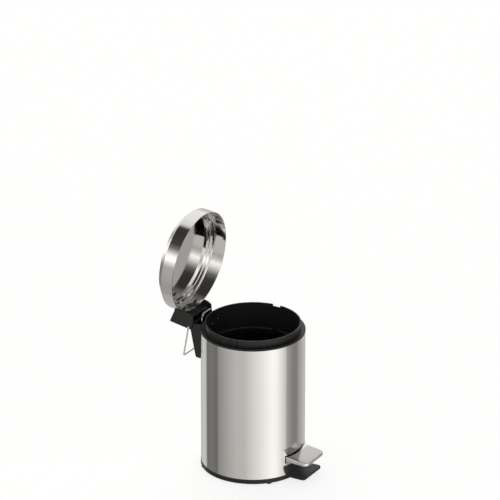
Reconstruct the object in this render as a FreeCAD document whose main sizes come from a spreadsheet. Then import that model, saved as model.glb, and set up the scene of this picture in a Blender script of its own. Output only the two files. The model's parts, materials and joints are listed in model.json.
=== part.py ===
import FreeCAD, Part
import math
import os
import Sketcher

# Pedal bin: a polished steel cylinder on a black base, a black top ring, a hinged steel lid
# standing open, a pedal whose lever lifts a wire that pushes the lid, a lift-out bucket.
# Millimetres. The origin is the middle of the base on the floor, +Z is up, the pedal is on the
# -Y side and the hinge on the +Y side. A shape that moves is drawn about its own pivot.

doc = FreeCAD.newDocument("pedal_bin")

DIMENSIONS = {
    # steel body
    "shell_radius": 85.0, "shell_wall": 0.6, "shell_height": 229.0,
    # base
    "foot_height": 1.5, "foot_radius": 4.5, "foot_circle": 81.4, "foot_angle": 48.5,
    "ring_radius": 85.4, "ring_height": 7.5, "ring_inner": 82.2, "ring_groove": 0.5,
    "groove_low": 3.6, "groove_high": 3.0, "floor_thick": 2.5, "spigot_radius": 84.2,
    "spigot_height": 10.0, "plate_half": 29.0, "plate_front": 112.7, "plate_back": 79.5,
    "plate_thick": 3.5, "plate_corner": 5.0, "plate_foot_x": 13.0, "plate_foot_y": 98.5,
    "plate_foot_radius": 3.0, "centre_boss": 12.0, "rib_thick": 2.0, "rib_inner": 30.0,
    "rib_outer": 82.5,
    # top ring
    "flange_radius": 85.3, "flange_thick": 3.0, "collar_radius": 78.0, "collar_inner": 76.0,
    "collar_height": 11.8, "skirt_radius": 77.6, "skirt_drop": 35.5, "lip_inner": 74.6,
    "lip_thick": 1.7, "ring_spigot": 84.1, "ring_spigot_wall": 1.4, "ring_spigot_drop": 8.0,
    "flange_groove": 0.5, "flange_groove_low": 1.1, "flange_groove_high": 1.6,
    "notch_half": 7.0, "notch_depth": 3.4, "recess_depth": 0.8,
    "slit_width": 1.6, "slit_depth": 2.6,
    # anchor strap and screws
    "strap_inner": 78.6, "strap_outer": 80.1, "strap_half": 25.6, "strap_low": 221.5,
    "screw_radius": 1.5, "screw_head": 2.7, "screw_head_height": 1.6, "screw_boss": 3.0,
    "bracket_screw_x": 22.6, "bracket_screw_high": 225.4, "bracket_screw_low": 190.0,
    # lid
    "lid_radius": 84.9, "lid_wall": 0.6, "lid_depth": 22.8, "lid_corner": 2.6, "lid_gap": 0.3,
    "hem_width": 0.5, "hem_height": 1.6, "step_radius": 80.0, "step_rise": 3.95,
    "step_run": 1.5, "step_ledge": 2.0, "step_round": 0.6,
    "hinge_back": 103.0, "hinge_drop": 8.3, "lid_open": 84.1, "tab_x": 19.0, "tab_half": 4.5,
    "tab_low": 9.0, "tab_high": 12.0, "tab_play": 0.1,
    # hinge
    "cheek_half": 30.0, "cheek_inner": 27.4, "ear_half": 27.0, "ear_inner": 24.3,
    "pin_radius": 1.5, "pin_play": 0.05, "pin_half": 28.5, "boss_radius": 4.6,
    # carrying handle
    "handle_wire": 1.3, "handle_half": 31.5, "handle_drop": 54.5, "handle_end": 28.9,
    "handle_lean": 10.0,
    # lifter
    "wire_radius": 1.5, "lifter_half": 16.6, "lifter_top_half": 11.0, "lifter_shoulder": 7.9,
    "lifter_length": 215.9, "lifter_top_y": 87.0, "lifter_top_z": 251.5, "lifter_lean": 5.0,
    "slot_half": 18.9, "slot_low": 181.5, "guide_z": 112.0, "guide_thick": 8.0,
    "guide_half": 21.0, "guide_play": 0.35,
    # pedal
    "tread_half": 30.0, "tread_front": 44.0, "tread_back": 8.0, "tread_top": 6.85,
    "tread_wall": 1.2, "tread_corner": 10.0, "tread_edge": 2.2, "tread_slope": 7.07,
    "ridge_half": 25.5, "ridge_pitch": 4.1, "ridge_height": 1.0, "ridge_width": 3.0,
    "ridge_crest": 1.3, "ridge_first": 5.2, "ridge_sink": 0.3,
    "pivot_y": 74.47, "pivot_z": 35.45, "axle_radius": 2.0, "axle_half": 31.4,
    "clip_radius": 3.2, "clip_thick": 1.0, "clip_play": 0.2, "lever_half": 8.0,
    "lever_thick": 2.0, "post_inner": 21.0, "post_outer": 25.0, "post_top": 4.4,
    "post_half": 3.5, "pedal_slot_side": 2.0, "pedal_slot_low": 29.4,
    "pedal_slot_high": 43.4, "rivet_x": 4.5, "rivet_y": 4.0, "rivet_radius": 1.5,
    "rivet_head": 2.6, "rivet_head_height": 0.8, "rivet_tail_height": 1.0,
    "buffer_radius": 5.0, "buffer_thick": 1.4, "buffer_y": 55.0, "saddle_half": 8.0,
    # bucket
    "bucket_bottom": 45.0, "bucket_low": 66.0, "bucket_high": 74.2, "bucket_wall": 1.6,
    "bucket_rim": 75.7, "bucket_rim_thick": 2.5, "bucket_rim_inner": 72.6,
    "bail_outer": 71.6, "bail_width": 2.8, "bail_thick": 3.2,
}

sheet = doc.addObject("Spreadsheet::Sheet", "dims")
for row, (alias, number) in enumerate(DIMENSIONS.items(), start=1):
    sheet.set(f"A{row}", alias)
    sheet.set(f"B{row}", str(number))
    sheet.setAlias(f"B{row}", alias)
doc.recompute()

# Levels and places that follow from the driving dimensions, as expressions on the sheet.
RING_TOP = "(dims.foot_height + dims.ring_height)"
SHELL_TOP = f"({RING_TOP} + dims.shell_height)"
FLANGE_TOP = f"({SHELL_TOP} + dims.flange_thick)"
COLLAR_TOP = f"({FLANGE_TOP} + dims.collar_height)"
RIM_Z = f"({FLANGE_TOP} + dims.lid_gap)"
LID_TOP = f"({RIM_Z} + dims.lid_depth)"
HINGE_Z = f"({FLANGE_TOP} - dims.hinge_drop)"
SKIRT_END = f"({FLANGE_TOP} - dims.skirt_drop)"
BUCKET_RIM_TOP = f"({SKIRT_END} + dims.lip_thick + 0.3 + dims.bucket_rim_thick)"
SHELL_INNER = "(dims.shell_radius - dims.shell_wall)"
TRAY_FLOOR = "(dims.foot_height + dims.floor_thick)"

PLANE_NORMAL = {"XY_Plane": 1, "XZ_Plane": -1, "YZ_Plane": 1}
pieces = []


def value(expression):
    """The number an expression on the sheet gives."""
    result = sheet.evalExpression(str(expression))
    return float(getattr(result, "Value", result))


def new_body(label):
    """A body for one sub-part; its label is the name of its file."""
    body = doc.addObject("PartDesign::Body", label)
    body.Label = label
    pieces.append(body)
    return body


def new_sketch(body, name, role, offset="0"):
    """A sketch on one of the body's origin planes, moved along the row axis by offset."""
    sketch = body.newObject("Sketcher::SketchObject", name)
    plane = next(item for item in body.Origin.OriginFeatures if item.Role == role)
    sketch.AttachmentSupport = [(plane, "")]
    sketch.MapMode = "FlatFace"
    if offset != "0":
        sketch.setExpression("AttachmentOffset.Base.z", f"{PLANE_NORMAL[role]} * ({offset})")
    return sketch


def pin_point(sketch, geometry, vertex, across, up):
    """Holds a point of the sketch at a place given by two expressions."""
    for kind, expression, axis in (("DistanceX", across, -2), ("DistanceY", up, -1)):
        number = value(expression)
        if abs(number) < 1e-9:
            sketch.addConstraint(Sketcher.Constraint("PointOnObject", geometry, vertex, axis))
            continue
        place = Sketcher.Constraint(kind, -1, 1, geometry, vertex, number)
        index = sketch.addConstraint(place)
        sketch.setExpression(f"Constraints[{index}]", str(expression))


def polygon(sketch, vertices):
    """A closed outline through the given places."""
    corners = [FreeCAD.Vector(value(across), value(up), 0) for across, up in vertices]
    first = sketch.GeometryCount
    count = len(corners)
    for index in range(count):
        line = Part.LineSegment(corners[index], corners[(index + 1) % count])
        sketch.addGeometry(line, False)
    for index in range(count):
        following = first + (index + 1) % count
        sketch.addConstraint(Sketcher.Constraint("Coincident", first + index, 2, following, 1))
    for index, (across, up) in enumerate(vertices):
        pin_point(sketch, first + index, 1, across, up)


def rectangle(sketch, low_across, high_across, low_up, high_up):
    """An upright rectangle between two places."""
    polygon(sketch, [(low_across, low_up), (high_across, low_up),
                     (high_across, high_up), (low_across, high_up)])


def circles(sketch, centres, radius):
    """Circles of one radius at the given places."""
    for across, up in centres:
        middle = FreeCAD.Vector(value(across), value(up), 0)
        circle = Part.Circle(middle, FreeCAD.Vector(0, 0, 1), value(radius))
        index = sketch.addGeometry(circle, False)
        pin_point(sketch, index, 3, across, up)
        size = sketch.addConstraint(Sketcher.Constraint("Radius", index, value(radius)))
        sketch.setExpression(f"Constraints[{size}]", str(radius))


def add_prism(body, sketch, length, cut=False):
    """Pads or cuts a sketch, half of the length to each side of its plane."""
    kind = "PartDesign::Pocket" if cut else "PartDesign::Pad"
    before = body.Shape.Volume if body.Tip else 0.0
    prism = body.newObject(kind, sketch.Name + ("_cut" if cut else "_pad"))
    prism.Profile = sketch
    prism.SideType = "Symmetric"
    prism.Type = "Length"
    prism.setExpression("Length", str(length))
    doc.recompute()
    after = body.Shape.Volume
    if (after >= before - 1e-6) if cut else (after <= before + 1e-6):
        raise RuntimeError(f"{prism.Name} changes nothing")
    return prism


def turn(body, sketch, cut=False, angle=360):
    """Revolves a sketch about the body's Z axis, as a solid or as a cut."""
    kind = "PartDesign::Groove" if cut else "PartDesign::Revolution"
    before = body.Shape.Volume if body.Tip else 0.0
    feature = body.newObject(kind, sketch.Name + ("_groove" if cut else "_turn"))
    feature.Profile = sketch
    feature.ReferenceAxis = (sketch, ["V_Axis"])
    feature.Angle = angle
    doc.recompute()
    after = body.Shape.Volume
    if (after >= before - 1e-6) if cut else (after <= before + 1e-6):
        raise RuntimeError(f"{feature.Name} changes nothing")
    return feature


def round_edges(body, name, radius, chosen):
    """Fillets the edges of the body's tip that the test picks."""
    tip = body.Tip
    names = [f"Edge{number}" for number, edge in enumerate(tip.Shape.Edges, start=1)
             if chosen(edge)]
    fillet = body.newObject("PartDesign::Fillet", name)
    fillet.Base = (tip, names)
    fillet.setExpression("Radius", str(radius))
    doc.recompute()
    return fillet


def is_rim(edge, radius, height):
    """True for a circle of this radius at this height."""
    curve = edge.Curve
    if not isinstance(curve, Part.Circle):
        return False
    return abs(curve.Radius - radius) < 0.01 and abs(curve.Center.z - height) < 0.01


def is_upright(edge, y):
    """True for a straight upright edge at this place along Y."""
    ends = [vertex.Point for vertex in edge.Vertexes]
    if len(ends) != 2 or abs(ends[0].z - ends[1].z) < 1:
        return False
    return all(abs(end.y - y) < 0.01 for end in ends) and abs(ends[0].x - ends[1].x) < 0.01


def is_side_edge(edge, height):
    """True for a straight edge along Y at this height."""
    ends = [vertex.Point for vertex in edge.Vertexes]
    if len(ends) != 2 or abs(ends[0].y - ends[1].y) < 1:
        return False
    return all(abs(end.z - height) < 0.01 for end in ends)


def wire_pipe(body, path_role, points, radius):
    """A round wire along straight runs in one of the body's planes; it starts along X."""
    profile = new_sketch(body, body.Name + "_section", "YZ_Plane", points[0][0])
    circles(profile, [("0", points[0][1])], radius)
    path = new_sketch(body, body.Name + "_path", path_role)
    places = [FreeCAD.Vector(value(across), value(up), 0) for across, up in points]
    for index in range(len(places) - 1):
        path.addGeometry(Part.LineSegment(places[index], places[index + 1]), False)
    for index in range(len(places) - 2):
        path.addConstraint(Sketcher.Constraint("Coincident", index, 2, index + 1, 1))
    for index, (across, up) in enumerate(points[:-1]):
        pin_point(path, index, 1, across, up)
    pin_point(path, len(points) - 2, 2, *points[-1])
    doc.recompute()
    pipe = body.newObject("PartDesign::AdditivePipe", body.Name + "_pipe")
    pipe.Profile = profile
    pipe.Spine = (path, [f"Edge{number}" for number in range(1, len(points))])
    pipe.Transition = "Round corner"
    doc.recompute()
    return pipe


def place(body, x="0", y="0", z="0", tilt="0"):
    """Puts a sub-part that is drawn about its own pivot at its place, turned about X."""
    body.Placement.Rotation = FreeCAD.Rotation(FreeCAD.Vector(1, 0, 0), value(tilt))
    body.setExpression("Placement.Base.x", x)
    body.setExpression("Placement.Base.y", y)
    body.setExpression("Placement.Base.z", z)
    body.setExpression("Placement.Rotation.Angle", f"({tilt}) * 1deg")
    doc.recompute()


def group(label, members):
    """Identical small pieces kept as separate solids in one node."""
    bundle = doc.addObject("Part::Compound", label)
    bundle.Label = label
    bundle.Links = members
    pieces.append(bundle)
    doc.recompute()
    return bundle


def cylinder(name, radius, length, base, direction):
    """A plain cylinder from a base point along a direction, sizes bound to the sheet."""
    solid = doc.addObject("Part::Cylinder", name)
    solid.setExpression("Radius", str(radius))
    solid.setExpression("Height", str(length))
    for axis, expression in zip("xyz", base):
        solid.setExpression(f"Placement.Base.{axis}", str(expression))
    solid.Placement.Rotation = FreeCAD.Rotation(FreeCAD.Vector(0, 0, 1), direction)
    return solid


def screw(name, x, y, z, shank_length):
    """A pan-head screw that points along +Y, with its head's underside at y."""
    along = FreeCAD.Vector(0, 1, 0)
    head = cylinder(name + "_head", "dims.screw_head", "dims.screw_head_height",
                    (x, f"({y}) - dims.screw_head_height", z), along)
    shank = cylinder(name + "_shank", "dims.screw_radius", shank_length, (x, y, z), along)
    fused = doc.addObject("Part::Fuse", name)
    fused.Base = head
    fused.Tool = shank
    return fused


# ---------------------------------------------------------------- steel body

PEDAL_SLOT_HALF = "(dims.tread_half + dims.pedal_slot_side)"
BRACKET_SCREWS = [(f"{side} * dims.bracket_screw_x", f"dims.bracket_screw_{level}")
                  for side in (-1, 1) for level in ("high", "low")]


def make_outer_shell():
    """The rolled steel wall, cut for the pedal, the lifter and the bracket's screws."""
    body = new_body("outer_shell")
    wall = new_sketch(body, "shell_wall_section", "XZ_Plane")
    rectangle(wall, SHELL_INNER, "dims.shell_radius", RING_TOP, SHELL_TOP)
    turn(body, wall)
    slot = new_sketch(body, "shell_pedal_slot", "XZ_Plane", "-80")
    rectangle(slot, f"-{PEDAL_SLOT_HALF}", PEDAL_SLOT_HALF, "dims.pedal_slot_low",
              "dims.pedal_slot_high")
    add_prism(body, slot, "20", cut=True)
    rear = new_sketch(body, "shell_lifter_slot", "XZ_Plane", "80")
    rectangle(rear, "-dims.slot_half", "dims.slot_half", "dims.slot_low",
              f"{SHELL_TOP} + 1")
    add_prism(body, rear, "20", cut=True)
    holes = new_sketch(body, "shell_screw_holes", "XZ_Plane", "80")
    circles(holes, BRACKET_SCREWS, "dims.screw_radius + 0.1")
    add_prism(body, holes, "20", cut=True)


# ---------------------------------------------------------------- base

def make_base_tray():
    """The moulded base: two-step ring, floor, foot plate under the pedal, axle posts, ribs."""
    body = new_body("base_tray")
    section = new_sketch(body, "tray_section", "XZ_Plane")
    groove_low = f"({RING_TOP} - dims.groove_low)"
    groove_high = f"({RING_TOP} - dims.groove_high)"
    polygon(section, [
        ("0", "dims.foot_height"), ("dims.ring_radius", "dims.foot_height"),
        ("dims.ring_radius", groove_low), ("dims.ring_radius - dims.ring_groove", groove_low),
        ("dims.ring_radius - dims.ring_groove", groove_high), ("dims.ring_radius", groove_high),
        ("dims.ring_radius", RING_TOP), ("dims.spigot_radius", RING_TOP),
        ("dims.spigot_radius", f"{RING_TOP} + dims.spigot_height"),
        ("dims.ring_inner", f"{RING_TOP} + dims.spigot_height"),
        ("dims.ring_inner", TRAY_FLOOR), ("0", TRAY_FLOOR)])
    turn(body, section)
    boss = new_sketch(body, "centre_boss", "XY_Plane", "dims.foot_height")
    circles(boss, [("0", "0")], "dims.centre_boss")
    add_prism(body, boss, "2 * dims.foot_height")
    plate = new_sketch(body, "foot_plate", "XY_Plane", f"{RING_TOP} - dims.plate_thick / 2")
    rectangle(plate, "-dims.plate_half", "dims.plate_half", "-dims.plate_front",
              "-dims.plate_back")
    add_prism(body, plate, "dims.plate_thick")
    round_edges(body, "plate_corners", "dims.plate_corner",
                lambda edge: is_upright(edge, -value("dims.plate_front")))
    for side, name in ((-1, "left"), (1, "right")):
        middle = f"{side} * (dims.post_inner + dims.post_outer) / 2"
        post = new_sketch(body, f"axle_post_{name}", "YZ_Plane", middle)
        front = "-dims.pivot_y - dims.post_half"
        rear = "-dims.pivot_y + dims.post_half"
        post_top = "dims.pivot_z + dims.post_top"
        polygon(post, [(front, f"{TRAY_FLOOR} - 1"), (f"{rear} + 4", f"{TRAY_FLOOR} - 1"),
                       (rear, post_top), (front, post_top)])
        add_prism(body, post, "dims.post_outer - dims.post_inner")
        web = new_sketch(body, f"post_rib_{name}", "YZ_Plane", middle)
        polygon(web, [(rear, f"{TRAY_FLOOR} - 1"), (f"{rear} + 30", f"{TRAY_FLOOR} - 1"),
                      (rear, "dims.pivot_z - 8")])
        add_prism(body, web, "dims.rib_thick")
    bore = new_sketch(body, "axle_bore", "YZ_Plane")
    circles(bore, [("-dims.pivot_y", "dims.pivot_z")], "dims.axle_radius + dims.pin_play")
    add_prism(body, bore, "2 * dims.post_outer + 4", cut=True)
    for angle, name in ((25, "first"), (155, "second"), (205, "third"), (335, "fourth")):
        rib = new_sketch(body, f"floor_rib_{name}", "XY_Plane", f"{TRAY_FLOOR} + 0.5")
        half = "dims.rib_thick / 2"
        ends = [(f"{reach} * cos({angle}) - {side} * {half} * sin({angle})",
                 f"{reach} * sin({angle}) + {side} * {half} * cos({angle})")
                for reach, side in (("dims.rib_inner", -1), ("dims.rib_outer", -1),
                                    ("dims.rib_outer", 1), ("dims.rib_inner", 1))]
        polygon(rib, ends)
        add_prism(body, rib, "dims.rib_thick")


def make_base_feet():
    """Four rubber feet under the ring and two under the foot plate."""
    up = FreeCAD.Vector(0, 0, 1)
    feet = []
    for index, (side, end) in enumerate(((1, 1), (-1, 1), (-1, -1), (1, -1)), start=1):
        base = (f"{side} * dims.foot_circle * cos(dims.foot_angle)",
                f"{end} * dims.foot_circle * sin(dims.foot_angle)", "0")
        feet.append(cylinder(f"ring_foot_{index}", "dims.foot_radius", "dims.foot_height",
                             base, up))
    for index, side in enumerate((-1, 1), start=1):
        base = (f"{side} * dims.plate_foot_x", "-dims.plate_foot_y", "0")
        feet.append(cylinder(f"plate_foot_{index}", "dims.plate_foot_radius",
                             f"{RING_TOP} - dims.plate_thick", base, up))
    group("base_feet", feet)


# ---------------------------------------------------------------- top ring and its anchor

# Each screw's place along X, its height, and how far back the underside of its head sits.
RING_SCREWS = (("0", "230.5", "77.65"), ("-17", "234.5", "76.3"), ("17", "234.5", "76.3"))


def make_top_ring():
    """The moulded ring: flange over the shell, collar inside the lid, skirt with a ledge."""
    body = new_body("top_ring")
    section = new_sketch(body, "ring_section", "XZ_Plane")
    spigot_inner = "(dims.ring_spigot - dims.ring_spigot_wall)"
    polygon(section, [
        ("dims.collar_inner", COLLAR_TOP), ("dims.collar_inner", f"{SKIRT_END} + dims.lip_thick"),
        ("dims.lip_inner", f"{SKIRT_END} + dims.lip_thick"), ("dims.lip_inner", SKIRT_END),
        ("dims.skirt_radius", SKIRT_END), ("dims.skirt_radius", SHELL_TOP),
        (spigot_inner, SHELL_TOP), (spigot_inner, f"{SHELL_TOP} - dims.ring_spigot_drop"),
        ("dims.ring_spigot", f"{SHELL_TOP} - dims.ring_spigot_drop"),
        ("dims.ring_spigot", SHELL_TOP), ("dims.flange_radius", SHELL_TOP),
        ("dims.flange_radius", f"{SHELL_TOP} + dims.flange_groove_low"),
        ("dims.flange_radius - dims.flange_groove", f"{SHELL_TOP} + dims.flange_groove_low"),
        ("dims.flange_radius - dims.flange_groove", f"{SHELL_TOP} + dims.flange_groove_high"),
        ("dims.flange_radius", f"{SHELL_TOP} + dims.flange_groove_high"),
        ("dims.flange_radius", FLANGE_TOP),
        ("dims.collar_radius", FLANGE_TOP), ("dims.collar_radius", COLLAR_TOP)])
    turn(body, section)
    notch = new_sketch(body, "collar_notch", "YZ_Plane", "dims.collar_inner + 1")
    rectangle(notch, "-dims.notch_half", "dims.notch_half",
              f"{COLLAR_TOP} - dims.notch_depth", f"{COLLAR_TOP} + 1")
    add_prism(body, notch, "8", cut=True)
    recess = new_sketch(body, "collar_recess", "YZ_Plane", "-dims.collar_radius")
    rectangle(recess, "-2 * dims.notch_half", "0", FLANGE_TOP, f"{COLLAR_TOP} + 1")
    add_prism(body, recess, "2 * dims.recess_depth", cut=True)
    slit = new_sketch(body, "collar_slit", "YZ_Plane", "-dims.collar_radius")
    rectangle(slit, "-2 * dims.notch_half - dims.slit_width", "-2 * dims.notch_half", FLANGE_TOP,
              f"{COLLAR_TOP} + 1")
    add_prism(body, slit, "2 * dims.slit_depth", cut=True)
    for index, (x, z, seat) in enumerate(RING_SCREWS, start=1):
        start = f"({seat} - 1.2)"
        boss = new_sketch(body, f"screw_boss_{index}", "XZ_Plane",
                          f"({start} + dims.strap_inner) / 2")
        circles(boss, [(x, z)], "dims.screw_boss")
        add_prism(body, boss, f"dims.strap_inner - {start}")
    room = new_sketch(body, "lifter_room", "XY_Plane", f"{SHELL_TOP} - 2")
    rectangle(room, "-dims.slot_half", "dims.slot_half", "81.6", "90")
    add_prism(body, room, "20", cut=True)
    seat = new_sketch(body, "strap_room", "XY_Plane", f"{SHELL_TOP} - 5")
    rectangle(seat, "-30", "30", "dims.strap_inner", "90")
    add_prism(body, seat, "10", cut=True)
    for index, (x, z, under_head) in enumerate(RING_SCREWS, start=1):
        hole = new_sketch(body, f"ring_screw_hole_{index}", "XZ_Plane", "76")
        circles(hole, [(x, z)], "dims.screw_radius")
        add_prism(body, hole, "10", cut=True)
        recess = new_sketch(body, f"ring_screw_recess_{index}", "XZ_Plane", f"{under_head} - 5")
        circles(recess, [(x, z)], "2.9")
        add_prism(body, recess, "10", cut=True)


def make_anchor_strap():
    """The steel strap that the ring's screws and the bracket's upper screws bite into."""
    body = new_body("anchor_strap")
    strap = new_sketch(body, "strap_outline", "XZ_Plane",
                       "(dims.strap_inner + dims.strap_outer) / 2")
    rectangle(strap, "-dims.strap_half", "dims.strap_half", "dims.strap_low",
              f"{SHELL_TOP} - 0.2")
    add_prism(body, strap, "dims.strap_outer - dims.strap_inner")
    holes = new_sketch(body, "strap_holes", "XZ_Plane", "dims.strap_inner")
    centres = [(x, z) for x, z, _ in RING_SCREWS]
    centres += [(f"{side} * dims.bracket_screw_x", "dims.bracket_screw_high")
                for side in (-1, 1)]
    circles(holes, centres, "dims.screw_radius")
    add_prism(body, holes, "6", cut=True)


def make_screws():
    """Three screws through the ring, and four that hold the hinge bracket from inside."""
    ring = [screw(f"ring_screw_{index}", x, seat, z, f"dims.strap_outer + 0.8 - {seat}")
            for index, (x, z, seat) in enumerate(RING_SCREWS, start=1)]
    group("ring_screws", ring)
    bracket = []
    for side, name in ((-1, "left"), (1, "right")):
        x = f"{side} * dims.bracket_screw_x"
        bracket.append(screw(f"upper_screw_{name}", x, "dims.strap_inner",
                             "dims.bracket_screw_high", "9.4"))
        bracket.append(screw(f"lower_screw_{name}", x, "dims.strap_outer",
                             "dims.bracket_screw_low", "6.2"))
    group("bracket_screws", bracket)


# ---------------------------------------------------------------- hinge bracket and pin

def make_hinge_bracket():
    """The fixed black bracket: a hollow channel, two ears, and a knuckle round the pin."""
    body = new_body("hinge_bracket")
    side = new_sketch(body, "bracket_side", "YZ_Plane")
    polygon(side, [("76", "178.8"), ("90.6", "178.8"), ("92.9", "181.4"), ("101.9", "225.7"),
                   ("107", "230.2"), ("104.4", "237.1"), ("99", "237.9"), ("76", "237.9")])
    add_prism(body, side, "2 * dims.ear_half")
    hollow = new_sketch(body, "bracket_hollow", "YZ_Plane")
    polygon(hollow, [("70", "181.4"), ("90.3", "181.4"), ("98.9", "224"), ("98.9", "229"),
                     ("115", "229"), ("115", "250"), ("70", "250")])
    add_prism(body, hollow, "2 * dims.ear_inner", cut=True)
    knuckle = new_sketch(body, "bracket_knuckle", "YZ_Plane")
    circles(knuckle, [("dims.hinge_back", HINGE_Z)], "dims.boss_radius")
    add_prism(body, knuckle, "2 * dims.ear_half")
    bosses = new_sketch(body, "bracket_bosses", "XZ_Plane", "83.2")
    circles(bosses, BRACKET_SCREWS, "dims.screw_boss")
    add_prism(body, bosses, "9.6")
    body_room = new_sketch(body, "shell_room", "XZ_Plane")
    rectangle(body_room, "0", "dims.shell_radius + 0.05", "170", "250")
    turn(body, body_room, cut=True)
    pilots = new_sketch(body, "bracket_pilots", "XZ_Plane", "83.2")
    circles(pilots, BRACKET_SCREWS, "dims.screw_radius")
    add_prism(body, pilots, "20", cut=True)
    bore = new_sketch(body, "bracket_bore", "YZ_Plane")
    circles(bore, [("dims.hinge_back", HINGE_Z)], "dims.pin_radius")
    add_prism(body, bore, "2 * dims.ear_half + 2", cut=True)


def make_hinge_pin():
    """The steel pin through the ears and the lid bracket's cheeks."""
    start = ("-dims.pin_half", "dims.hinge_back", HINGE_Z)
    pin = cylinder("hinge_pin", "dims.pin_radius", "2 * dims.pin_half", start,
                   FreeCAD.Vector(1, 0, 0))
    pieces.append(pin)


# ---------------------------------------------------------------- lid

# The lid's pieces are drawn closed, in the row frame, and then swung open about the hinge.
TAB_LOW = f"({RIM_Z} + dims.tab_low)"
TAB_HIGH = f"({RIM_Z} + dims.tab_high)"
LID_INNER = "(dims.lid_radius - dims.lid_wall)"


def swing_open(body):
    """Turns a lid piece from its closed place to its open place, about the hinge."""
    turned_y = f"(dims.hinge_back * cos(dims.lid_open) + {HINGE_Z} * sin(dims.lid_open))"
    turned_z = f"({HINGE_Z} * cos(dims.lid_open) - dims.hinge_back * sin(dims.lid_open))"
    place(body, "0", f"dims.hinge_back - {turned_y}", f"{HINGE_Z} - {turned_z}",
          "-dims.lid_open")


def make_lid_shell():
    """The pressed steel lid: a flat disc raised in two steps, a skirt with a hemmed rim."""
    body = new_body("lid_shell")
    section = new_sketch(body, "lid_section", "XZ_Plane")
    under = f"({LID_TOP} - dims.lid_wall)"
    hem_top = f"({RIM_Z} + dims.hem_height)"
    steps = [("dims.step_radius", "0"),
             ("(dims.step_radius - dims.step_run)", "dims.step_rise"),
             ("(dims.step_radius - dims.step_run - dims.step_ledge)", "dims.step_rise"),
             ("(dims.step_radius - 2 * dims.step_run - dims.step_ledge)", "2 * dims.step_rise")]
    outline = [(radius, f"{LID_TOP} + {rise}") for radius, rise in steps]
    outline.insert(0, ("dims.lid_radius", LID_TOP))
    outline.append(("0", f"{LID_TOP} + 2 * dims.step_rise"))
    outline.append(("0", f"{under} + 2 * dims.step_rise"))
    outline += [(f"{radius} - dims.lid_wall", f"{under} + {rise}")
                for radius, rise in reversed(steps)]
    outline += [(LID_INNER, under), (LID_INNER, hem_top),
                (f"{LID_INNER} - dims.hem_width", hem_top),
                (f"{LID_INNER} - dims.hem_width", RIM_Z), ("dims.lid_radius", RIM_Z)]
    polygon(section, outline)
    turn(body, section)
    round_edges(body, "lid_outer_corner", "dims.lid_corner",
                lambda edge: is_rim(edge, value("dims.lid_radius"), value(LID_TOP)))
    round_edges(body, "lid_inner_corner", "dims.lid_corner - dims.lid_wall",
                lambda edge: is_rim(edge, value(LID_INNER), value(under)))
    creases = [(value(radius), value(f"{LID_TOP} + {rise}")) for radius, rise in steps]
    creases += [(radius - value("dims.lid_wall"), height - value("dims.lid_wall"))
                for radius, height in creases]
    round_edges(body, "lid_step_creases", "dims.step_round",
                lambda edge: any(is_rim(edge, *crease) for crease in creases))
    slots = new_sketch(body, "lid_tab_slots", "XZ_Plane", "80")
    for side in (-1, 1):
        rectangle(slots, f"{side} * dims.tab_x - dims.tab_half",
                  f"{side} * dims.tab_x + dims.tab_half", TAB_LOW, TAB_HIGH)
    add_prism(body, slots, "20", cut=True)
    swing_open(body)


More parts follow.
